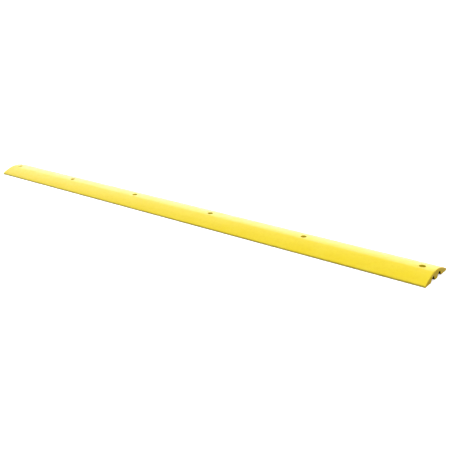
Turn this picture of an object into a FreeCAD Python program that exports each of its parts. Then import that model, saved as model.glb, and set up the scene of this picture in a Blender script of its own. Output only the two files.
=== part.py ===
"""Rubber speed bump: one long yellow rubber moulding with two cable channels underneath,
held to the road by a row of identical fixings (lag bolt, fender washer and lag shield).

Frame, in millimetres: X along the bump, Y across it in the direction of traffic, Z up.
The origin is on the underside, in the middle of the bump, so the road surface is z = 0.
"""
import FreeCAD, Part
import math
import os

# ---------------------------------------------------------------- driving dimensions
LENGTH = 3657.6            # 12 ft
WIDTH = 254.0              # 10 in
HEIGHT = 50.8              # 2 in
LIP_HEIGHT = 11.0          # upright edge along both long sides
LIP_ROUND = 4.0            # radius along the lip's upper edge
FACE_RADIUS = 360.0        # each sloping face is slightly domed
CROWN_HALF_WIDTH = 29.0    # from the centre line to the crease
CREASE_HEIGHT = 49.4
CREASE_ROUND = 6.0         # radius where a face turns into the crown
END_ROUND = 4.0            # radius round the outline of both end faces

CHANNEL_CENTRE = 37.0      # distance of each cable channel from the centre line
CHANNEL_HALF_BASE = 23.5
CHANNEL_HALF_SHOULDER = 13.0
CHANNEL_SHOULDER_HEIGHT = 19.0
CHANNEL_HEIGHT = 28.0

FIXING_COUNT = 6
FIXING_PITCH = 702.0
COUNTERBORE_RADIUS = 17.0
SEAT_HEIGHT = 26.0         # floor of the counterbore above the road
RIM_ROUND = 0.8            # radius round the counterbore's mouth
THROUGH_HOLE_RADIUS = 8.75 # lets the shield pass when it is set through the bump

INCH = 25.4
BOLT_RADIUS = 0.375 * INCH / 2
BOLT_LENGTH = 3.0 * INCH   # under the head
BOLT_POINT_LENGTH = 9.0
BOLT_POINT_RADIUS = 0.6
HEAD_ACROSS_FLATS = 0.5625 * INCH
HEAD_HEIGHT = 0.25 * INCH
HEAD_CHAMFER_ANGLE = 30.0  # degrees, on the head's top corners

WASHER_RADIUS = 1.25 * INCH / 2
WASHER_BORE_RADIUS = 5.2
WASHER_THICKNESS = 2.0

SHIELD_RADIUS = 0.625 * INCH / 2
SHIELD_LENGTH = 1.75 * INCH
SHIELD_TOP = -1.5          # the shield sits just below the road surface
SHIELD_BORE_RADIUS = BOLT_RADIUS + 0.05
SHIELD_RIB_COUNT = 5
SHIELD_RIB_WIDTH = 3.2
SHIELD_GROOVE_DEPTH = 0.8
SHIELD_SLOT_WIDTH = 1.6
SHIELD_COLLAR_LENGTH = 8.0 # the unslotted length at the top

WASHER_TOP = SEAT_HEIGHT + WASHER_THICKNESS


# ---------------------------------------------------------------- small helpers
def point(x, y, z):
    return FreeCAD.Vector(x, y, z)


def line(start, end):
    return Part.LineSegment(start, end).toShape()


def arc(start, middle, end):
    return Part.Arc(start, middle, end).toShape()


def cylinder(radius, bottom, top, x=0.0):
    return Part.makeCylinder(radius, top - bottom, point(x, 0, bottom))


def middle_of_domed_arc(start, end, radius):
    """The middle point of the arc of this radius that bulges upwards between two points."""
    half_chord = start.distanceToPoint(end) / 2
    rise = radius - math.sqrt(radius ** 2 - half_chord ** 2)
    chord = end - start
    normal = point(0, -chord.z, chord.y)
    normal.normalize()
    if normal.z < 0:
        normal = -normal
    return (start + end) / 2 + normal * rise


def mirrored(vertex):
    return point(vertex.x, -vertex.y, vertex.z)


def fixing_positions():
    first = -FIXING_PITCH * (FIXING_COUNT - 1) / 2
    return [first + FIXING_PITCH * index for index in range(FIXING_COUNT)]


# ---------------------------------------------------------------- the rubber moulding
def outline_face():
    """The bump's outer cross-section at its left end, with no channels."""
    x = -LENGTH / 2
    foot = point(x, WIDTH / 2, 0)
    lip = point(x, WIDTH / 2, LIP_HEIGHT)
    crease = point(x, CROWN_HALF_WIDTH, CREASE_HEIGHT)
    crown = point(x, 0, HEIGHT)
    face_middle = middle_of_domed_arc(lip, crease, FACE_RADIUS)
    edges = [
        line(foot, lip),
        arc(lip, face_middle, crease),
        arc(crease, crown, mirrored(crease)),
        arc(mirrored(crease), mirrored(face_middle), mirrored(lip)),
        line(mirrored(lip), mirrored(foot)),
        line(mirrored(foot), foot),
    ]
    return Part.Face(Part.Wire(edges))


def channel(side):
    """One full-length cable channel: leaning walls and a round roof, open underneath."""
    x = -LENGTH / 2
    centre = side * CHANNEL_CENTRE
    base_left = point(x, centre - CHANNEL_HALF_BASE, 0)
    base_right = point(x, centre + CHANNEL_HALF_BASE, 0)
    shoulder_left = point(x, centre - CHANNEL_HALF_SHOULDER, CHANNEL_SHOULDER_HEIGHT)
    shoulder_right = point(x, centre + CHANNEL_HALF_SHOULDER, CHANNEL_SHOULDER_HEIGHT)
    roof = point(x, centre, CHANNEL_HEIGHT)
    edges = [
        line(base_left, shoulder_left),
        arc(shoulder_left, roof, shoulder_right),
        line(shoulder_right, base_right),
        line(base_right, base_left),
    ]
    return Part.Face(Part.Wire(edges)).extrude(point(LENGTH, 0, 0))


def is_long_edge(edge, y, z):
    """An edge that runs the whole length of the bump at this height, on either side of the middle."""
    centre = edge.CenterOfMass
    return edge.Length > LENGTH / 2 and abs(abs(centre.y) - y) < 0.01 and abs(centre.z - z) < 0.01


def is_end_outline_edge(edge):
    """An edge of the arched outline of either end face, not its straight foot."""
    box = edge.BoundBox
    at_end = abs(abs(edge.CenterOfMass.x) - LENGTH / 2) < 0.01 and box.XLength < 0.01
    return at_end and box.ZMax > 1.0


def is_counterbore_rim(edge):
    """The curve where a counterbore breaks through the crown."""
    box = edge.BoundBox
    round_size = abs(box.XLength - 2 * COUNTERBORE_RADIUS) < 1
    return round_size and box.ZMin > CREASE_HEIGHT


def bump_body():
    body = outline_face().extrude(point(LENGTH, 0, 0))
    creases = [e for e in body.Edges if is_long_edge(e, CROWN_HALF_WIDTH, CREASE_HEIGHT)]
    body = body.makeFillet(CREASE_ROUND, creases)
    lips = [e for e in body.Edges if is_long_edge(e, WIDTH / 2, LIP_HEIGHT)]
    body = body.makeFillet(LIP_ROUND, lips)
    body = body.makeFillet(END_ROUND, [e for e in body.Edges if is_end_outline_edge(e)])
    above = HEIGHT + 10
    below = -10
    counterbores = [cylinder(COUNTERBORE_RADIUS, SEAT_HEIGHT, above, x) for x in fixing_positions()]
    body = body.cut(Part.makeCompound(counterbores))
    body = body.makeFillet(RIM_ROUND, [e for e in body.Edges if is_counterbore_rim(e)])
    through_holes = [cylinder(THROUGH_HOLE_RADIUS, below, above, x) for x in fixing_positions()]
    body = body.cut(Part.makeCompound(through_holes + [channel(-1), channel(1)]))
    return body.removeSplitter().Solids[0]


# ---------------------------------------------------------------- the fixings
def lag_bolt(x):
    """Hexagon lag bolt, gimlet point down. Its head sits on the washer."""
    tip = WASHER_TOP - BOLT_LENGTH
    corner_radius = HEAD_ACROSS_FLATS / math.sqrt(3)
    corners = []
    for index in range(7):
        angle = math.radians(60 * index)
        corners.append(point(x + corner_radius * math.cos(angle), corner_radius * math.sin(angle), WASHER_TOP))
    head = Part.Face(Part.makePolygon(corners)).extrude(point(0, 0, HEAD_HEIGHT))
    chamfer_drop = (corner_radius - HEAD_ACROSS_FLATS / 2) * math.tan(math.radians(HEAD_CHAMFER_ANGLE))
    cone_height = 3 * HEAD_HEIGHT
    cone_base = corner_radius + (cone_height - chamfer_drop) / math.tan(math.radians(HEAD_CHAMFER_ANGLE))
    head_top = WASHER_TOP + HEAD_HEIGHT
    cone_foot = point(x, 0, head_top - cone_height)
    cone = Part.makeCone(cone_base, HEAD_ACROSS_FLATS / 2, cone_height, cone_foot)
    head = head.common(cone)
    shank = cylinder(BOLT_RADIUS, tip + BOLT_POINT_LENGTH, WASHER_TOP, x)
    gimlet = Part.makeCone(BOLT_POINT_RADIUS, BOLT_RADIUS, BOLT_POINT_LENGTH, point(x, 0, tip))
    return head.fuse([shank, gimlet]).removeSplitter().Solids[0]


def washer(x):
    disc = cylinder(WASHER_RADIUS, SEAT_HEIGHT, WASHER_TOP, x)
    return disc.cut(cylinder(WASHER_BORE_RADIUS, SEAT_HEIGHT - 1, WASHER_TOP + 1, x))


def lag_shield(x):
    """Ribbed expansion shield: a tube, split along both sides below its collar."""
    bottom = SHIELD_TOP - SHIELD_LENGTH
    shell = cylinder(SHIELD_RADIUS, bottom, SHIELD_TOP, x)
    groove_zone = SHIELD_LENGTH - SHIELD_COLLAR_LENGTH - SHIELD_RIB_WIDTH
    step = groove_zone / SHIELD_RIB_COUNT
    cutters = [cylinder(SHIELD_BORE_RADIUS, bottom - 1, SHIELD_TOP + 1, x)]
    for index in range(SHIELD_RIB_COUNT):
        low = bottom + SHIELD_RIB_WIDTH + index * step
        high = low + step - SHIELD_RIB_WIDTH
        ring = cylinder(SHIELD_RADIUS + 1, low, high, x)
        core = cylinder(SHIELD_RADIUS - SHIELD_GROOVE_DEPTH, low, high, x)
        cutters.append(ring.cut(core))
    slot_corner = point(x - SHIELD_SLOT_WIDTH / 2, -SHIELD_RADIUS - 1, bottom - 1)
    slot_top = SHIELD_TOP - SHIELD_COLLAR_LENGTH
    slot = Part.makeBox(SHIELD_SLOT_WIDTH, 2 * SHIELD_RADIUS + 2, slot_top - bottom + 1, slot_corner)
    cutters.append(slot)
    return shell.cut(cutters).Solids[0]


# ---------------------------------------------------------------- every piece, by node name
def all_parts():
    parts = {"bump_body": bump_body()}
    for number, x in enumerate(fixing_positions(), start=1):
        parts["lag_bolt_%d" % number] = lag_bolt(x)
        parts["washer_%d" % number] = washer(x)
        parts["lag_shield_%d" % number] = lag_shield(x)
    return parts


def main():
    os.makedirs("parts", exist_ok=True)
    for name, shape in all_parts().items():
        box = shape.BoundBox
        print("%-14s valid %s, %.1f cm3, z %.2f to %.2f" % (
            name, shape.isValid(), shape.Volume / 1000, box.ZMin, box.ZMax))
        shape.exportStep("parts/%s.step" % name)


main()
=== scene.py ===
"""Looks of the rubber speed bump: a finely meshed moulding, and detailed fixings in its holes.

Everything is in metres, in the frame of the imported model: X along the bump, Z up, road at z = 0.
"""
import math

import bmesh
import bpy
from mathutils import Matrix, Vector, noise


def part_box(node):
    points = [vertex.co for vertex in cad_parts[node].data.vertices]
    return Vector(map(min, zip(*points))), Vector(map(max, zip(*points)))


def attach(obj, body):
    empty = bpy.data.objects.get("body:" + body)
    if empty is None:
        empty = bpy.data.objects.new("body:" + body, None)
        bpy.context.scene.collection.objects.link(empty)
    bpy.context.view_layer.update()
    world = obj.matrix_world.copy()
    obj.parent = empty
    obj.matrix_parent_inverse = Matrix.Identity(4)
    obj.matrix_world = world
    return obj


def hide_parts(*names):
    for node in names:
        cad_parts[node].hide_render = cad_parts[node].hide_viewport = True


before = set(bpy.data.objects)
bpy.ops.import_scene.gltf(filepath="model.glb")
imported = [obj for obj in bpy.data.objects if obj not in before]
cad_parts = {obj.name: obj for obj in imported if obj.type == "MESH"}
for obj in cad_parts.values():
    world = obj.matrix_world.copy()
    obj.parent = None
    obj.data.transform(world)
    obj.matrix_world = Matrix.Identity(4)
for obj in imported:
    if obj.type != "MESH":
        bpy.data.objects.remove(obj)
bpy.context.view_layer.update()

MM = 0.001

# ================================================================ sizes, from the frame
FIXING_NUMBERS = range(1, 7)


def node_centre_x(node):
    low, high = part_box(node)
    return (low.x + high.x) / 2


body_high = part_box("bump_body")[1]
HALF_LENGTH = body_high.x
HALF_WIDTH = body_high.y
HEIGHT = body_high.z

HOLE_XS = [node_centre_x("washer_%d" % number) for number in FIXING_NUMBERS]
HOLE_PITCH = HOLE_XS[1] - HOLE_XS[0]

washer_low, washer_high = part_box("washer_1")
SEAT = washer_low.z        # the floor of the counterbores
WASHER_TOP = washer_high.z
WASHER_RADIUS = (washer_high.x - washer_low.x) / 2

BOLT_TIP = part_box("lag_bolt_1")[0].z
HEAD_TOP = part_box("lag_bolt_1")[1].z

# ================================================================ sizes of the moulding
LIP_HEIGHT = 11 * MM
LIP_ROUND = 4 * MM
FACE_RADIUS = 360 * MM
CREASE_Y = 29 * MM
CREASE_Z = 49.4 * MM
CREASE_ROUND = 6 * MM
FOOT_ROUND = 1.5 * MM
CHANNEL_Y = 37 * MM
CHANNEL_HALF_BASE = 23.5 * MM
CHANNEL_HALF_SHOULDER = 13 * MM
CHANNEL_SHOULDER = 19 * MM
CHANNEL_ROOF = 28 * MM
CHANNEL_ROUND = 2 * MM

END_ROUND = 4 * MM         # round the arched outline of both ends
LIP_END_ROUND = 3 * MM     # at the lips, less than the lip's own round
FOOT_END_ROUND = 0.7 * MM  # round the foot and the channel mouths
ROUND_GROWS_BELOW = 6 * MM   # the height over which the foot's round grows into the lip's
ROUND_GROWS_ABOVE = 14 * MM  # the height above the lip over which that grows to the full round

COUNTERBORE_RADIUS = 17 * MM
RIM_ROUND = 0.8 * MM
SEAT_ROUND = 1.2 * MM
HOLE_RADIUS = 8.75 * MM
HOLE_ROUND = 0.7 * MM

SKIN_WAVE = 0.007          # the most that the skin sinks, as a share of its height
SIDE_WAVE = 0.0022         # the most that it draws in, as a share of its distance from the middle

# Mesh cells. A square of the crown and a strip of the foot round each hole are meshed as rings.
PATCH_CELLS = 16
PATCH_HALF_X = 24 * MM
TOP_PATCH_HALF_Y = 24 * MM
FOOT_PATCH_HALF_Y = 11.2 * MM
CELL_LENGTH = 14 * MM      # along the bump, between the patches
FEWEST_CELLS = 6
FACE_CELLS = 22
WALL_CELLS = 5
ROOF_CELLS = 10
END_CELLS = 6
WELD_DISTANCE = 0.01 * MM

# ================================================================ sizes of the fixings
WASHER_BORE = 5.2 * MM
WASHER_EDGE = 0.35 * MM
WASHER_SEGMENTS = 72

BOLT_RADIUS = 4.7625 * MM
HEAD_FLAT = 7.14375 * MM   # from the axis to a flat of the head
HEAD_CORNER = 1.135        # how much further out its rounded corners are
HEAD_CHAMFER = math.radians(30)
COLLAR_RADIUS = HEAD_FLAT * 0.97  # the round face under the head
UNDER_HEAD_ROUND = 0.6 * MM
POINT_LENGTH = 9 * MM
BOLT_SEGMENTS = 48

THREAD_PITCH = 25.4 / 7 * MM
THREAD_DEPTH = 0.95 * MM
THREAD_TOP = -8 * MM
THREAD_HALF_RIDGE = 0.32   # half the foot of a ridge, as a share of the pitch
THREAD_CREST = 1.25        # at 1 the ridge would be sharp, above 1 its crest is flat
THREAD_RUN_OUT = 1.5       # turns over which the thread fades into the shank
THREAD_STEPS = 8           # rings to each turn of the thread

GOLDEN_ANGLE = math.radians(137.5)  # from each bolt to the next, so that no two stand alike

# ================================================================ colours and finish
SUNNY_YELLOW = (0.93, 0.718, 0.013)
DEEP_YELLOW = (0.875, 0.632, 0.010)
PALE_YELLOW = (0.94, 0.76, 0.040)
# deeper orange on the end faces: painted warm shade
END_FACE_WARM_SHADE = (0.97, 0.66, 0.012)
SPECK_BROWN = (0.25, 0.17, 0.02)
# olive darkening low on the lips and the foot: painted shade
LOW_SHADE_OLIVE = (0.36, 0.31, 0.08)
# olive darkening inside the counterbores: painted shade
COUNTERBORE_SHADE_OLIVE = (0.40, 0.33, 0.02)
# near black and dark brown inside the channels: painted deep shade
CHANNEL_DARK_SHADE = (0.028, 0.019, 0.004)
CHANNEL_LIGHTER_SHADE = (0.11, 0.075, 0.012)

LOW_SHADE = 0.9                 # the most that the painted shade darkens the lips and the foot
COUNTERBORE_SHADE = 0.5               # how far the painted shade darkens the counterbores
CHANNEL_SHADE = 0.98               # how far the painted deep shade darkens the channels
RUBBER_GLOSS = (0.30, 0.44)  # roughness, lowest and highest
RUBBER_SPECULAR = 0.5
MATT = 0.03                # specular level of the end faces and of the painted channel shade

# ================================================================ the studio
FLOOR_RADIUS = 170.0
DOME_RADIUS = FLOOR_RADIUS * 1.02
FLOOR_BRIGHTNESS = 0.90
FLOOR_GLOW = 0.45
BOUNCE_BRIGHTNESS = 0.05
BACKDROP_GLOW = 1.1

KEY_ENERGY = 2.32
KEY_SPREAD = 50            # degrees across
KEY_FROM = (0.22, -0.36, 0.90)

# The surround, by height above the horizon from 0 to 1. A bright band stands behind the bump.
SURROUND_LOW = 0.45
SURROUND_HIGH = 0.24
SURROUND_HEIGHTS = (0.02, 0.30)
BAND_STRENGTH = 2.3
BAND_FULL = 0.30           # up to this height the band has its full strength
BAND_END = 0.87
BAND_REST = 0.05           # the share of it that is left above that
BAND_TOWARDS = (-0.6, 0.8)   # the direction of its middle, in X and Y
BAND_SIDE = 0.3            # how far that way it begins, and is at its full strength
BAND_MIDDLE = 0.75

CAMERA_PLACE = (2.9026, -2.8102, 1.3920)
CAMERA_AZIMUTH = 40.889
CAMERA_ELEVATION = 20.589
CAMERA_ROLL = -2.406
CAMERA_LENS = 50.931
CAMERA_SENSOR = 36.0
CAMERA_REACH = 400.0       # past the far side of the backdrop


# ================================================================ mesh helpers
def new_piece(name, mesh_builder, body, replaced):
    """Makes an object from a bmesh that mesh_builder fills, in the place of a CAD node."""
    bm = bmesh.new()
    mesh_builder(bm)
    bmesh.ops.remove_doubles(bm, verts=bm.verts, dist=WELD_DISTANCE)
    bmesh.ops.recalc_face_normals(bm, faces=bm.faces)
    mesh = bpy.data.meshes.new(name)
    bm.to_mesh(mesh)
    bm.free()
    mesh.shade_smooth()
    piece = bpy.data.objects.new(name, mesh)
    bpy.context.collection.objects.link(piece)
    weighted = piece.modifiers.new("face_weighted_normals", "WEIGHTED_NORMAL")
    weighted.weight = 80
    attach(piece, body)
    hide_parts(replaced)
    return piece


def bridge(bm, ring_a, ring_b):
    """Quads between two closed rings of vertices with the same count."""
    count = len(ring_a)
    for index in range(count):
        after = (index + 1) % count
        bm.faces.new((ring_a[index], ring_a[after], ring_b[after], ring_b[index]))


def bridge_all(bm, rings):
    for ring_a, ring_b in zip(rings, rings[1:]):
        bridge(bm, ring_a, ring_b)


def spread(start, end, count):
    """count + 1 evenly spaced numbers, both ends included."""
    return [start + (end - start) * index / count for index in range(count + 1)]


def between(start, end, cells):
    """The points inside a straight line that divide it into cells."""
    return [tuple(Vector(start).lerp(Vector(end), t)) for t in spread(0, 1, cells)[1:-1]]


def fillet(before, corner, after, radius, count):
    """Points of a round that replaces a corner of an outline in the YZ plane."""
    to_before = (Vector(before) - Vector(corner)).normalized()
    to_after = (Vector(after) - Vector(corner)).normalized()
    half_angle = to_before.angle(to_after) / 2
    tangent = radius / math.tan(half_angle)
    centre = Vector(corner) + (to_before + to_after).normalized() * radius / math.sin(half_angle)
    start = Vector(corner) + to_before * tangent - centre
    end = Vector(corner) + to_after * tangent - centre
    turn = start.angle(end)
    points = []
    for t in spread(0, 1, count):
        arm = (start * math.sin((1 - t) * turn) + end * math.sin(t * turn)) / math.sin(turn)
        points.append(tuple(centre + arm))
    return points


def bulge(start, end, rise, count):
    """Points of an arc from start to end that stands out by rise on its left side."""
    start, end = Vector(start), Vector(end)
    half_chord = (end - start).length / 2
    radius = (half_chord ** 2 + rise ** 2) / (2 * rise)
    along = (end - start).normalized()
    out = Vector((-along.y, along.x))
    centre = (start + end) / 2 - out * (radius - rise)
    half_turn = math.asin(half_chord / radius)
    points = []
    for angle in spread(-half_turn, half_turn, count):
        points.append(tuple(centre + along * radius * math.sin(angle) + out * radius * math.cos(angle)))
    return points


# ================================================================ the moulding's section
def crown_z(y):
    """Height of the crown band, an arc through both creases and the top of the bump."""
    drop = HEIGHT - CREASE_Z
    radius = (CREASE_Y ** 2 + drop ** 2) / (2 * drop)
    return HEIGHT - radius + math.sqrt(radius ** 2 - y ** 2)


def channel_outline(toe):
    """One channel on the +Y side, from the middle foot over its roof to the outer foot."""
    foot_inner = (CHANNEL_Y - CHANNEL_HALF_BASE, 0)
    shoulder_inner = (CHANNEL_Y - CHANNEL_HALF_SHOULDER, CHANNEL_SHOULDER)
    shoulder_outer = (CHANNEL_Y + CHANNEL_HALF_SHOULDER, CHANNEL_SHOULDER)
    foot_outer = (CHANNEL_Y + CHANNEL_HALF_BASE, 0)
    inner_round = fillet((0, 0), foot_inner, shoulder_inner, CHANNEL_ROUND, 4)
    outer_round = fillet(shoulder_outer, foot_outer, toe, CHANNEL_ROUND, 4)
    points = inner_round + between(inner_round[-1], shoulder_inner, WALL_CELLS)
    points += bulge(shoulder_inner, shoulder_outer, CHANNEL_ROOF - CHANNEL_SHOULDER, ROOF_CELLS)
    points += between(shoulder_outer, outer_round[0], WALL_CELLS)
    return points + outer_round


def right_side():
    """The outline from the foot's edge round the +Y side up to the crown's patch."""
    toe = (HALF_WIDTH, 0)
    lip = (HALF_WIDTH, LIP_HEIGHT)
    crease = (CREASE_Y, CREASE_Z)
    half_chord = (Vector(crease) - Vector(lip)).length / 2
    face_rise = FACE_RADIUS - math.sqrt(FACE_RADIUS ** 2 - half_chord ** 2)
    face = bulge(crease, lip, face_rise, FACE_CELLS)[::-1]
    crown_start = (CREASE_Y - 2 * MM, crown_z(CREASE_Y - 2 * MM))
    points = channel_outline(toe)
    foot_outer = (CHANNEL_Y + CHANNEL_HALF_BASE, 0)
    points += [(y, 0) for y in spread(points[-1][0], HALF_WIDTH - FOOT_ROUND, 6)[1:-1]]
    points += fillet(foot_outer, toe, lip, FOOT_ROUND, 3)
    points += [(HALF_WIDTH, z) for z in spread(FOOT_ROUND, LIP_HEIGHT - LIP_ROUND, 4)[1:-1]]
    points += fillet(toe, lip, face[1], LIP_ROUND, 5)
    points += face[1:-1]
    points += fillet(face[-2], crease, crown_start, CREASE_ROUND, 3)
    points += [(y, crown_z(y)) for y in spread(crown_start[0] - 0.5 * MM, TOP_PATCH_HALF_Y, 3)[:-1]]
    return points


def section_loop():
    """The whole outline, foot patch, +Y side, crown patch and -Y side, and how long a side is."""
    foot = [(y, 0) for y in spread(-FOOT_PATCH_HALF_Y, FOOT_PATCH_HALF_Y, PATCH_CELLS)]
    crown = [(y, crown_z(y)) for y in spread(TOP_PATCH_HALF_Y, -TOP_PATCH_HALF_Y, PATCH_CELLS)]
    side = right_side()
    other_side = [(-y, z) for y, z in reversed(side)]
    return foot + side + crown + other_side, len(side)


def inset(loop, distances):
    """The outline moved into the rubber, each point by its own distance."""
    moved = []
    count = len(loop)
    for index in range(count):
        here = Vector(loop[index])
        into = here - Vector(loop[index - 1])
        out_of = Vector(loop[(index + 1) % count]) - here
        normal_a = Vector((-into.y, into.x)).normalized()
        normal_b = Vector((-out_of.y, out_of.x)).normalized()
        normal = (normal_a + normal_b).normalized()
        moved.append(tuple(here + normal * distances[index] / max(normal.dot(normal_a), 0.5)))
    return moved


def end_round_at(point):
    """How far an end's edge is rounded at a point of the outline: little at the foot, most above."""
    y, z = point
    beside_channel = abs(y) < CHANNEL_Y + CHANNEL_HALF_BASE + 4 * MM
    if beside_channel and z < CHANNEL_ROOF + 2 * MM:
        return FOOT_END_ROUND
    if z < LIP_HEIGHT:
        share = min(z / ROUND_GROWS_BELOW, 1)
        return FOOT_END_ROUND + (LIP_END_ROUND - FOOT_END_ROUND) * share
    share = min((z - LIP_HEIGHT) / ROUND_GROWS_ABOVE, 1)
    return LIP_END_ROUND + (END_ROUND - LIP_END_ROUND) * share


def length_stations():
    """X positions of the mesh's cross-sections, and which cells hold a hole."""
    patch_step = 2 * PATCH_HALF_X / PATCH_CELLS
    stations = [-HALF_LENGTH + END_ROUND]
    hole_cells = set()
    for hole_x in HOLE_XS:
        gap = hole_x - PATCH_HALF_X - stations[-1]
        cells = max(FEWEST_CELLS, round(gap / CELL_LENGTH))
        stations += spread(stations[-1], hole_x - PATCH_HALF_X, cells)[1:]
        first = len(stations) - 1
        hole_cells.update(range(first, first + PATCH_CELLS))
        stations += [stations[-1] + patch_step * (index + 1) for index in range(PATCH_CELLS)]
    stations += spread(stations[-1], HALF_LENGTH - END_ROUND, FEWEST_CELLS)[1:]
    return stations, hole_cells


# ================================================================ the moulding's holes
def patch_boundary(centre_x, half_y, height_at):
    """Points round a rectangle of grid cells, starting at its low corner."""
    xs = spread(-PATCH_HALF_X, PATCH_HALF_X, PATCH_CELLS)
    ys = spread(-half_y, half_y, PATCH_CELLS)
    plan = [(x, -half_y) for x in xs[:-1]]
    plan += [(PATCH_HALF_X, y) for y in ys[:-1]]
    plan += [(x, half_y) for x in xs[:0:-1]]
    plan += [(-PATCH_HALF_X, y) for y in ys[:0:-1]]
    return [Vector((centre_x + x, y, height_at(y))) for x, y in plan]


def circle(centre_x, radius, height_at):
    """Points round a circle, in step with the points of a patch's boundary."""
    count = 4 * PATCH_CELLS
    points = []
    for index in range(count):
        angle = math.radians(-135) + 2 * math.pi * index / count
        y = radius * math.sin(angle)
        points.append(Vector((centre_x + radius * math.cos(angle), y, height_at(y))))
    return points


def blended(points_a, points_b, t, height_at):
    mixed = [a.lerp(b, t) for a, b in zip(points_a, points_b)]
    return [Vector((p.x, p.y, height_at(p.y))) for p in mixed]


def flat(z):
    return lambda y: z


def below_crown(depth):
    return lambda y: crown_z(y) - depth


def counterbore_rings(centre_x):
    """Rings from the crown's patch over the rim and down to the edge of the through hole."""
    top_edge = patch_boundary(centre_x, TOP_PATCH_HALF_Y, crown_z)
    mouth = circle(centre_x, COUNTERBORE_RADIUS + RIM_ROUND, crown_z)
    rings = [top_edge]
    rings += [blended(top_edge, mouth, t, crown_z) for t in (0.3, 0.6, 0.88)]
    for angle in spread(0, math.pi / 2, 5):
        radius = COUNTERBORE_RADIUS + RIM_ROUND * (1 - math.sin(angle))
        rings.append(circle(centre_x, radius, below_crown(RIM_ROUND * (1 - math.cos(angle)))))
    for t in spread(0, 1, WALL_CELLS)[1:]:
        def wall_height(y, t=t):
            return (crown_z(y) - RIM_ROUND) * (1 - t) + (SEAT + SEAT_ROUND) * t
        rings.append(circle(centre_x, COUNTERBORE_RADIUS, wall_height))
    for angle in spread(0, math.pi / 2, 4)[1:]:
        radius = COUNTERBORE_RADIUS - SEAT_ROUND * (1 - math.cos(angle))
        rings.append(circle(centre_x, radius, flat(SEAT + SEAT_ROUND * (1 - math.sin(angle)))))
    for radius in spread(COUNTERBORE_RADIUS - SEAT_ROUND, HOLE_RADIUS + HOLE_ROUND, 4)[1:]:
        rings.append(circle(centre_x, radius, flat(SEAT)))
    return rings


def through_hole_rings(centre_x):
    """Rings from the edge of the through hole down to the foot's patch."""
    rings = []
    for angle in spread(0, math.pi / 2, 3)[1:]:
        radius = HOLE_RADIUS + HOLE_ROUND - HOLE_ROUND * math.sin(angle)
        rings.append(circle(centre_x, radius, flat(SEAT - HOLE_ROUND * (1 - math.cos(angle)))))
    for z in spread(SEAT - HOLE_ROUND, HOLE_ROUND, 6)[1:]:
        rings.append(circle(centre_x, HOLE_RADIUS, flat(z)))
    for angle in spread(0, math.pi / 2, 3)[1:]:
        radius = HOLE_RADIUS + HOLE_ROUND * (1 - math.cos(angle))
        rings.append(circle(centre_x, radius, flat(HOLE_ROUND * (1 - math.sin(angle)))))
    foot_edge = patch_boundary(centre_x, FOOT_PATCH_HALF_Y, flat(0))
    # both blends start from the last ring round the hole, at 0.3 and 0.65 of the way to the patch's edge
    rings += [blended(rings[-1], foot_edge, t, flat(0)) for t in (0.3, 0.65)]
    rings.append(foot_edge)
    return rings


# ================================================================ the moulding's mesh
def unevenness(point):
    """A moulding's slow waviness, from 0 to 1."""
    slow = noise.noise(Vector((point.x * 3.1, point.y * 6.0, 1.7)))
    middling = noise.noise(Vector((point.x * 14.0, point.y * 17.0, 9.2)))
    return min(max(0.5 + 0.5 * slow + 0.25 * middling, 0), 1)


def add_waviness(bm):
    """Moves the moulding's skin inwards a little, so that long highlights aren't ruled lines."""
    for vert in bm.verts:
        wave = unevenness(vert.co)
        vert.co.z *= 1 - SKIN_WAVE * wave
        side_wave = noise.noise(Vector((vert.co.x * 5.3, 4.4, math.copysign(3.0, vert.co.y))))
        vert.co.y *= 1 - SIDE_WAVE * (0.5 + 0.5 * side_wave)


def add_end(bm, sign, end_ring, loop):
    """Rounds the edge of one end and closes it with a flat face."""
    rounds = [end_round_at(point) for point in loop]
    previous = end_ring
    for angle in spread(0, math.pi / 2, END_CELLS):
        shrunk = inset(loop, [size * (1 - math.cos(angle)) for size in rounds])
        ring = []
        for (y, z), size in zip(shrunk, rounds):
            ring.append(bm.verts.new((sign * (HALF_LENGTH - size * (1 - math.sin(angle))), y, z)))
        bridge(bm, previous, ring)
        previous = ring
    outline = [bm.edges.get((a, b)) for a, b in zip(previous, previous[1:] + previous[:1])]
    bmesh.ops.triangle_fill(bm, use_beauty=True, edges=outline, normal=(sign, 0, 0))


def build_moulding(bm):
    loop, side_count = section_loop()
    count = len(loop)
    foot_segments = range(0, PATCH_CELLS)
    crown_first = PATCH_CELLS + 1 + side_count
    crown_segments = range(crown_first, crown_first + PATCH_CELLS)
    stations, hole_cells = length_stations()
    rings = [[bm.verts.new((x, y, z)) for y, z in loop] for x in stations]
    for cell, (ring_a, ring_b) in enumerate(zip(rings, rings[1:])):
        for index in range(count):
            in_patch = index in foot_segments or index in crown_segments
            if cell in hole_cells and in_patch:
                continue
            after = (index + 1) % count
            bm.faces.new((ring_a[index], ring_a[after], ring_b[after], ring_b[index]))
    add_end(bm, -1, rings[0], loop)
    add_end(bm, 1, rings[-1], loop)
    for hole_x in HOLE_XS:
        hole_rings = counterbore_rings(hole_x) + through_hole_rings(hole_x)
        bridge_all(bm, [[bm.verts.new(point) for point in ring] for ring in hole_rings])
    loose = [vert for vert in bm.verts if not vert.link_faces]
    bmesh.ops.delete(bm, geom=loose, context="VERTS")
    add_waviness(bm)


# ================================================================ the fixings
def lathe(bm, profile, segments, centre_x, turn=0.0):
    """A turned surface round the vertical line at centre_x.

    profile holds (radius, z), and either may be a function of the angle.
    """
    rings = []
    for radius, z in profile:
        ring = []
        for index in range(segments):
            angle = turn + 2 * math.pi * index / segments
            at = radius(angle) if callable(radius) else radius
            high = z(angle) if callable(z) else z
            ring.append(bm.verts.new((centre_x + at * math.cos(angle), at * math.sin(angle), high)))
        rings.append(ring)
    bridge_all(bm, rings)
    return rings


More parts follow.
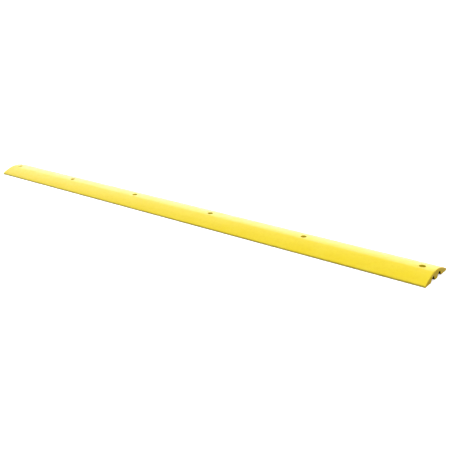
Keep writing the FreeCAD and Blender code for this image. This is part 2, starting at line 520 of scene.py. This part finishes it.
def washer_builder(centre_x):
    """A pressed washer: rolled lower edge, sharper upper edge, burred bore."""
    edge = WASHER_EDGE
    bore = WASHER_BORE
    outer = WASHER_RADIUS
    profile = [
        (bore + edge, SEAT),
        (outer - edge * 2, SEAT),
        (outer - edge * 0.6, SEAT + edge * 0.2),
        (outer, SEAT + edge),
        (outer, WASHER_TOP - edge),
        (outer - edge * 0.3, WASHER_TOP - edge * 0.3),
        (outer - edge, WASHER_TOP),
        (bore + edge * 1.6, WASHER_TOP),
        (bore + edge * 0.5, WASHER_TOP - edge * 0.3),
        (bore, WASHER_TOP - edge),
        (bore, SEAT + edge),
        (bore + edge * 0.3, SEAT + edge * 0.3),
        (bore + edge, SEAT),
    ]

    def build(bm):
        lathe(bm, profile, WASHER_SEGMENTS, centre_x)
    return build


def hexagon_radius(angle):
    """Distance from the axis to the side of the head, with its corners a little rounded."""
    from_flat = (angle + math.pi / 6) % (math.pi / 3) - math.pi / 6
    return min(HEAD_FLAT / math.cos(from_flat), HEAD_FLAT * HEAD_CORNER)


def chamfered_top(angle):
    """Height of the chamfer on the head's top where it meets the head's side."""
    return HEAD_TOP - 0.3 * MM - (hexagon_radius(angle) - HEAD_FLAT) * math.tan(HEAD_CHAMFER)


def thread_height(z, angle):
    """How far the thread stands out of its core at this height and angle, from 0 to 1."""
    phase = (z / THREAD_PITCH - angle / (2 * math.pi)) % 1.0
    ridge = max(0.0, 1 - abs(phase - 0.5) / THREAD_HALF_RIDGE)
    return min(ridge * THREAD_CREST, 1.0)


def thread_profile(turn):
    """The threaded length of a bolt, from its point up to where the thread fades out."""
    profile = []
    rings_down = round((THREAD_TOP - BOLT_TIP) / THREAD_PITCH * THREAD_STEPS)
    for z in spread(BOLT_TIP, THREAD_TOP, rings_down):
        taper = min(1.0, 0.12 + 0.88 * ((z - BOLT_TIP) / POINT_LENGTH) ** 0.8)
        fade = min(1.0, (THREAD_TOP - z) / (THREAD_RUN_OUT * THREAD_PITCH))

        def radius(angle, z=z, taper=taper, fade=fade):
            core = BOLT_RADIUS - THREAD_DEPTH
            threaded = core + THREAD_DEPTH * thread_height(z, angle - turn)
            smooth_shank = BOLT_RADIUS - 0.25 * MM
            return (threaded * fade + smooth_shank * (1 - fade)) * taper
        profile.append((radius, z))
    return profile


def head_profile():
    """The plain shank and the head: round collar, six sides, chamfer and a shallow dish on top."""
    side = HEAD_TOP - WASHER_TOP
    return [
        (BOLT_RADIUS - 0.1 * MM, THREAD_TOP + 1.5 * MM),
        (BOLT_RADIUS, THREAD_TOP + 3 * MM),
        (BOLT_RADIUS, WASHER_TOP - 4 * MM),
        (BOLT_RADIUS, WASHER_TOP - UNDER_HEAD_ROUND),
        (BOLT_RADIUS + UNDER_HEAD_ROUND, WASHER_TOP),
        (COLLAR_RADIUS - 0.3 * MM, WASHER_TOP),
        (COLLAR_RADIUS, WASHER_TOP + 0.25 * MM),
        (lambda angle: hexagon_radius(angle) - 0.25 * MM, WASHER_TOP + 0.3 * MM),
        (hexagon_radius, WASHER_TOP + 0.6 * MM),
        (hexagon_radius, WASHER_TOP + side * 0.45),
        (hexagon_radius, lambda angle: chamfered_top(angle) - 0.25 * MM),
        (lambda angle: hexagon_radius(angle) - 0.2 * MM, lambda angle: chamfered_top(angle) + 0.02 * MM),
        (HEAD_FLAT * 0.965, HEAD_TOP - 0.08 * MM),
        (HEAD_FLAT * 0.92, HEAD_TOP),
        (HEAD_FLAT * 0.80, HEAD_TOP),
        (HEAD_FLAT * 0.68, HEAD_TOP - 0.22 * MM),
        (HEAD_FLAT * 0.30, HEAD_TOP - 0.30 * MM),
    ]


def bolt_builder(centre_x, turn):
    def build(bm):
        profile = thread_profile(turn) + head_profile()
        rings = lathe(bm, profile, BOLT_SEGMENTS, centre_x, turn)
        bm.faces.new(rings[0])
        bm.faces.new(rings[-1])
    return build


# ================================================================ material helpers
def node_material(name):
    material = bpy.data.materials.new(name)
    material.use_nodes = True
    nodes = material.node_tree.nodes
    nodes.clear()
    shader = nodes.new("ShaderNodeBsdfPrincipled")
    output = nodes.new("ShaderNodeOutputMaterial")
    material.node_tree.links.new(shader.outputs["BSDF"], output.inputs["Surface"])
    return material, shader


class Nodes:
    """Short names for the nodes that every material here uses."""

    def __init__(self, owner, coordinates="Object"):
        self.tree = owner.node_tree
        self.place = self.add("ShaderNodeTexCoord").outputs[coordinates]

    def add(self, kind, **settings):
        node = self.tree.nodes.new(kind)
        for key, value in settings.items():
            setattr(node, key, value)
        return node

    def link(self, source, target):
        self.tree.links.new(source, target)

    def put(self, value, socket):
        """Links an output to the socket, or sets the socket to a colour or a number."""
        if isinstance(value, bpy.types.NodeSocket):
            self.link(value, socket)
        elif isinstance(value, tuple) and len(value) == 3:
            socket.default_value = (*value, 1.0)
        else:
            socket.default_value = value

    def axis(self, source, name):
        node = self.add("ShaderNodeSeparateXYZ")
        self.link(source, node.inputs[0])
        return node.outputs[name]

    def stretched(self, scale):
        mapping = self.add("ShaderNodeMapping")
        mapping.inputs["Scale"].default_value = scale
        self.link(self.place, mapping.inputs["Vector"])
        return mapping.outputs["Vector"]

    def noise(self, scale, detail=3.0, roughness=0.55, vector=None):
        node = self.add("ShaderNodeTexNoise")
        node.inputs["Scale"].default_value = scale
        node.inputs["Detail"].default_value = detail
        node.inputs["Roughness"].default_value = roughness
        self.link(vector or self.place, node.inputs["Vector"])
        return node.outputs["Fac"]

    def cells(self, scale):
        node = self.add("ShaderNodeTexVoronoi")
        node.inputs["Scale"].default_value = scale
        self.link(self.place, node.inputs["Vector"])
        return node.outputs["Distance"]

    def spread(self, source, low, high, to_low=0.0, to_high=1.0):
        """Maps low to high smoothly onto to_low to to_high, and stays there past both ends."""
        node = self.add("ShaderNodeMapRange", interpolation_type="SMOOTHSTEP")
        node.inputs["From Min"].default_value = low
        node.inputs["From Max"].default_value = high
        node.inputs["To Min"].default_value = to_low
        node.inputs["To Max"].default_value = to_high
        self.link(source, node.inputs["Value"])
        return node.outputs["Result"]

    def mix(self, amount, colour_a, colour_b):
        node = self.add("ShaderNodeMix", data_type="RGBA")
        self.put(amount, node.inputs["Factor"])
        self.put(colour_a, node.inputs[6])
        self.put(colour_b, node.inputs[7])
        return node.outputs[2]

    def maths(self, operation, a, b=0.0):
        node = self.add("ShaderNodeMath", operation=operation)
        self.put(a, node.inputs[0])
        self.put(b, node.inputs[1])
        return node.outputs[0]

    def times(self, a, b):
        return self.maths("MULTIPLY", a, b)

    def bump(self, height, distance, strength, under=None):
        node = self.add("ShaderNodeBump")
        node.inputs["Distance"].default_value = distance
        node.inputs["Strength"].default_value = strength
        self.link(height, node.inputs["Height"])
        if under:
            self.link(under, node.inputs["Normal"])
        return node.outputs["Normal"]


# ================================================================ the rubber
def clean_rubber(n):
    """Colour of the rubber itself: broad clouds, fine mottling and faint streaks along it."""
    clouds = n.spread(n.noise(7.0, 4.0), 0.35, 0.68)
    mottling = n.spread(n.noise(55.0, 5.0, 0.62), 0.42, 0.72)
    flow = n.spread(n.noise(1.0, 4.0, 0.5, n.stretched((3.0, 90.0, 90.0))), 0.45, 0.75)
    colour = n.mix(n.times(clouds, 0.45), SUNNY_YELLOW, PALE_YELLOW)
    colour = n.mix(n.times(mottling, 0.42), colour, DEEP_YELLOW)
    return n.mix(n.times(flow, 0.16), colour, PALE_YELLOW)


def speck_mask(n):
    """Small dark specks, in some places only."""
    everywhere = n.spread(n.cells(210.0), 0.055, 0.10, 1.0, 0.0)
    in_places = n.spread(n.noise(26.0, 2.0), 0.60, 0.66)
    return n.times(everywhere, in_places)


def low_shade_mask(n, height):
    """Painted shade on the lips and the foot, mottled, fading out upwards."""
    low_down = n.spread(height, 0.0, LIP_HEIGHT, 1.0, 0.0)
    return n.times(low_down, n.spread(n.noise(38.0, 5.0), 0.2, 0.7, 0.35, 1.0))


def channel_mask(n, height, across):
    """The walls and roof of both cable channels."""
    from_channel = n.maths("ABSOLUTE", n.maths("SUBTRACT", across, CHANNEL_Y))
    beside = n.spread(from_channel, CHANNEL_HALF_BASE - 2.5 * MM, CHANNEL_HALF_BASE, 1.0, 0.0)
    below_roof = n.spread(height, CHANNEL_ROOF, CHANNEL_ROOF + 1 * MM, 1.0, 0.0)
    return n.times(beside, below_roof)


def counterbore_mask(n, height, across):
    """The inside of the counterbores, which stand one pitch apart."""
    shifted = n.maths("ADD", n.axis(n.place, "X"), HOLE_PITCH / 2)
    from_hole = n.maths("PINGPONG", shifted, HOLE_PITCH / 2)
    squares = n.maths("ADD", n.times(from_hole, from_hole), n.times(across, across))
    radius = n.maths("SQRT", squares)
    within = n.spread(radius, COUNTERBORE_RADIUS, COUNTERBORE_RADIUS + RIM_ROUND, 1.0, 0.0)
    below_crown_edge = n.spread(height, CREASE_Z - 0.5 * MM, HEIGHT - 0.5 * MM, 1.0, 0.0)
    return n.times(within, below_crown_edge)


def rubber_material():
    """Yellow rubber, coloured right through, with matt end faces and painted shade: a warm tint on the
    ends, olive low down and in the counterbores, near black in the channels.
    """
    material, shader = node_material("yellow_rubber")
    n = Nodes(material)
    height = n.axis(n.place, "Z")
    along = n.maths("ABSOLUTE", n.axis(n.place, "X"))
    across = n.maths("ABSOLUTE", n.axis(n.place, "Y"))
    specks = speck_mask(n)
    low_shade = low_shade_mask(n, height)
    end_faces = n.spread(along, HALF_LENGTH - 1.6 * MM, HALF_LENGTH - 0.4 * MM)
    counterbore_shade = counterbore_mask(n, height, across)
    inside = n.spread(along, HALF_LENGTH - 1.2 * MM, HALF_LENGTH - 0.2 * MM, 1.0, 0.0)
    channel_shade = n.times(n.times(channel_mask(n, height, across), inside), CHANNEL_SHADE)

    colour = n.mix(n.times(specks, 0.35), clean_rubber(n), SPECK_BROWN)
    # painted shade low down, darkest at the road and mottled
    colour = n.mix(n.times(low_shade, LOW_SHADE), colour, LOW_SHADE_OLIVE)
    # painted warm shade on the end faces
    colour = n.mix(end_faces, colour, END_FACE_WARM_SHADE)
    # painted shade inside the counterbores
    colour = n.mix(n.times(counterbore_shade, COUNTERBORE_SHADE), colour, COUNTERBORE_SHADE_OLIVE)
    # painted deep shade in the channels, mottled between two darks
    channel_shade_colour = n.mix(n.spread(n.noise(18.0, 5.0), 0.4, 0.75), CHANNEL_DARK_SHADE, CHANNEL_LIGHTER_SHADE)
    n.link(n.mix(channel_shade, colour, channel_shade_colour), shader.inputs["Base Color"])

    roughness = n.spread(n.noise(34.0, 4.0), 0.3, 0.75, *RUBBER_GLOSS)
    roughness = n.maths("ADD", roughness, n.times(channel_shade, 0.3))
    roughness = n.maths("ADD", roughness, n.times(low_shade, 0.2))
    n.link(roughness, shader.inputs["Roughness"])
    matt = n.maths("MAXIMUM", end_faces, channel_shade)
    n.link(n.spread(matt, 0.0, 1.0, RUBBER_SPECULAR, MATT), shader.inputs["Specular IOR Level"])
    shader.inputs["IOR"].default_value = 1.52

    grain = n.bump(n.noise(900.0, 2.0), 0.12 * MM, 0.5)
    orange_peel = n.bump(n.noise(160.0, 3.0), 0.4 * MM, 0.35, grain)
    pits = n.bump(specks, -0.4 * MM, 0.6, orange_peel)
    n.link(pits, shader.inputs["Normal"])
    return material


# ================================================================ the metals
def zinc_material(name, bright, dull, scale):
    """Zinc plating: faint crystal bloom, tumbling marks, duller in random patches."""
    material, shader = node_material(name)
    n = Nodes(material)
    bloom = n.spread(n.cells(scale), 0.15, 0.75)
    haze = n.spread(n.noise(scale * 0.35, 4.0), 0.35, 0.7)
    colour = n.mix(haze, bright, dull)
    n.link(n.mix(n.times(bloom, 0.35), colour, (0.80, 0.78, 0.70)), shader.inputs["Base Color"])
    shader.inputs["Metallic"].default_value = 1.0
    n.link(n.spread(n.noise(scale * 1.4, 4.0), 0.3, 0.75, 0.26, 0.48), shader.inputs["Roughness"])
    scratches = n.noise(1.0, 3.0, 0.6, n.stretched((2600.0, 2600.0, 420.0)))
    marks = n.bump(scratches, 0.06 * MM, 0.5)
    n.link(n.bump(n.noise(scale * 2.0, 2.0), 0.08 * MM, 0.4, marks), shader.inputs["Normal"])
    return material


def cast_material():
    """As-cast zinc alloy: dull, sandy and a little blotched."""
    material, shader = node_material("cast_zinc_alloy")
    n = Nodes(material)
    blotches = n.spread(n.noise(420.0, 5.0), 0.35, 0.7)
    n.link(n.mix(blotches, (0.40, 0.41, 0.42), (0.25, 0.26, 0.27)), shader.inputs["Base Color"])
    shader.inputs["Metallic"].default_value = 0.9
    n.link(n.spread(n.noise(900.0, 3.0), 0.3, 0.7, 0.48, 0.68), shader.inputs["Roughness"])
    n.link(n.bump(n.noise(1900.0, 3.0), 0.18 * MM, 0.7), shader.inputs["Normal"])
    return material


def give(piece, material):
    piece.data.materials.clear()
    piece.data.materials.append(material)


# ================================================================ the object
def make_object():
    moulding = new_piece("speed_bump_moulding", build_moulding, "bump", "bump_body")
    give(moulding, rubber_material())
    bolt_zinc = zinc_material("zinc_plated_bolt", (0.72, 0.71, 0.66), (0.50, 0.50, 0.49), 500.0)
    washer_zinc = zinc_material("zinc_plated_washer", (0.68, 0.68, 0.66), (0.52, 0.52, 0.50), 380.0)
    cast_alloy = cast_material()
    for number, centre_x in zip(FIXING_NUMBERS, HOLE_XS):
        washer_node = "washer_%d" % number
        washer = new_piece("fender_washer_%d" % number, washer_builder(centre_x),
                           washer_node, washer_node)
        give(washer, washer_zinc)
        bolt = new_piece("threaded_lag_bolt_%d" % number, bolt_builder(centre_x, GOLDEN_ANGLE * number),
                         "bolt_%d" % number, "lag_bolt_%d" % number)
        give(bolt, bolt_zinc)
        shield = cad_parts["lag_shield_%d" % number]
        for slot in shield.material_slots:
            slot.material = cast_alloy


# ================================================================ the studio
def studio_material(name, brightness, glow):
    """A matt, faintly clouded white or grey that may also glow."""
    material, shader = node_material(name)
    n = Nodes(material)
    light = (brightness,) * 3
    shade = (brightness * 0.985,) * 3
    n.link(n.mix(n.spread(n.noise(2.0, 2.0), 0.3, 0.7), light, shade), shader.inputs["Base Color"])
    shader.inputs["Roughness"].default_value = 1.0
    shader.inputs["Specular IOR Level"].default_value = 0.0
    shader.inputs["Emission Color"].default_value = (1.0, 1.0, 1.0, 1.0)
    shader.inputs["Emission Strength"].default_value = glow
    return material


def stage_piece(name, bm, material):
    """Makes a part of the studio from a bmesh."""
    mesh = bpy.data.meshes.new(name)
    bm.to_mesh(mesh)
    bm.free()
    piece = bpy.data.objects.new(name, mesh)
    bpy.context.collection.objects.link(piece)
    give(piece, material)
    return piece


def make_floor(name, height, material):
    bm = bmesh.new()
    bmesh.ops.create_circle(bm, cap_ends=True, radius=FLOOR_RADIUS, segments=96)
    floor = stage_piece(name, bm, material)
    floor.location.z = height
    return floor


def make_floors():
    """A pale floor that is seen and reflected, and just under it a dark one that lights the object.

    Little light comes up from below onto the object, so its upright edges are much darker than
    its top, although the ground round it is white.
    """
    seen = make_floor("floor", 0.0, studio_material("studio_floor", FLOOR_BRIGHTNESS, FLOOR_GLOW))
    seen.visible_diffuse = False
    bounce = studio_material("bounce_floor", BOUNCE_BRIGHTNESS, 0.0)
    lit_by = make_floor("floor_for_bounced_light", -1 * MM, bounce)
    lit_by.visible_camera = False
    lit_by.visible_glossy = False


def make_backdrop():
    """A white dome that only the camera sees, so the ground ends in white in every view."""
    bm = bmesh.new()
    bmesh.ops.create_uvsphere(bm, u_segments=48, v_segments=24, radius=DOME_RADIUS)
    dome = stage_piece("backdrop", bm, studio_material("backdrop_white", 0.0, BACKDROP_GLOW))
    dome.visible_diffuse = False
    dome.visible_glossy = False
    dome.visible_transmission = False
    dome.visible_shadow = False


def make_world():
    """A soft white surround, brightest as a broad low band behind the bump, dim overhead."""
    world = bpy.data.worlds.new("studio")
    bpy.context.scene.world = world
    world.use_nodes = True
    world.node_tree.nodes.clear()
    n = Nodes(world, "Generated")
    x, y, z = [n.axis(n.place, name) for name in "XYZ"]
    surround = n.spread(z, *SURROUND_HEIGHTS, SURROUND_LOW, SURROUND_HIGH)
    towards_x, towards_y = BAND_TOWARDS
    behind = n.maths("ADD", n.times(y, towards_y), n.times(x, towards_x))
    behind = n.spread(behind, BAND_SIDE, BAND_MIDDLE)
    band = n.times(n.spread(z, BAND_FULL, BAND_END, 1.0, BAND_REST), BAND_STRENGTH)
    strength = n.maths("ADD", surround, n.times(behind, band))
    background = n.add("ShaderNodeBackground")
    background.inputs["Color"].default_value = (1.0, 1.0, 1.0, 1.0)
    n.link(strength, background.inputs["Strength"])
    n.link(background.outputs[0], n.add("ShaderNodeOutputWorld").inputs["Surface"])


def make_key_light():
    """One large soft key light from the camera's side, high up."""
    data = bpy.data.lights.new("key", "SUN")
    data.energy = KEY_ENERGY
    data.angle = math.radians(KEY_SPREAD)
    key = bpy.data.objects.new("key", data)
    key.rotation_euler = Vector(KEY_FROM).to_track_quat("Z", "Y").to_euler()
    bpy.context.collection.objects.link(key)


def make_camera():
    azimuth, elevation, roll = map(math.radians, (CAMERA_AZIMUTH, CAMERA_ELEVATION, CAMERA_ROLL))
    forward = Vector((-math.sin(azimuth) * math.cos(elevation),
                      math.cos(azimuth) * math.cos(elevation),
                      -math.sin(elevation)))
    level = Vector((math.cos(azimuth), math.sin(azimuth), 0))
    upward = level.cross(forward)
    right = level * math.cos(roll) + upward * math.sin(roll)
    up = upward * math.cos(roll) - level * math.sin(roll)
    data = bpy.data.cameras.new("camera")
    data.lens = CAMERA_LENS
    data.sensor_width = CAMERA_SENSOR
    data.clip_end = CAMERA_REACH
    camera = bpy.data.objects.new("camera", data)
    bpy.context.collection.objects.link(camera)
    turn = Matrix((right, up, -forward)).transposed().to_4x4()
    camera.matrix_world = Matrix.Translation(CAMERA_PLACE) @ turn
    bpy.context.scene.camera = camera


make_camera()
make_object()
make_floors()
make_backdrop()
make_world()
make_key_light()
bpy.context.scene.view_settings.view_transform = "Standard"
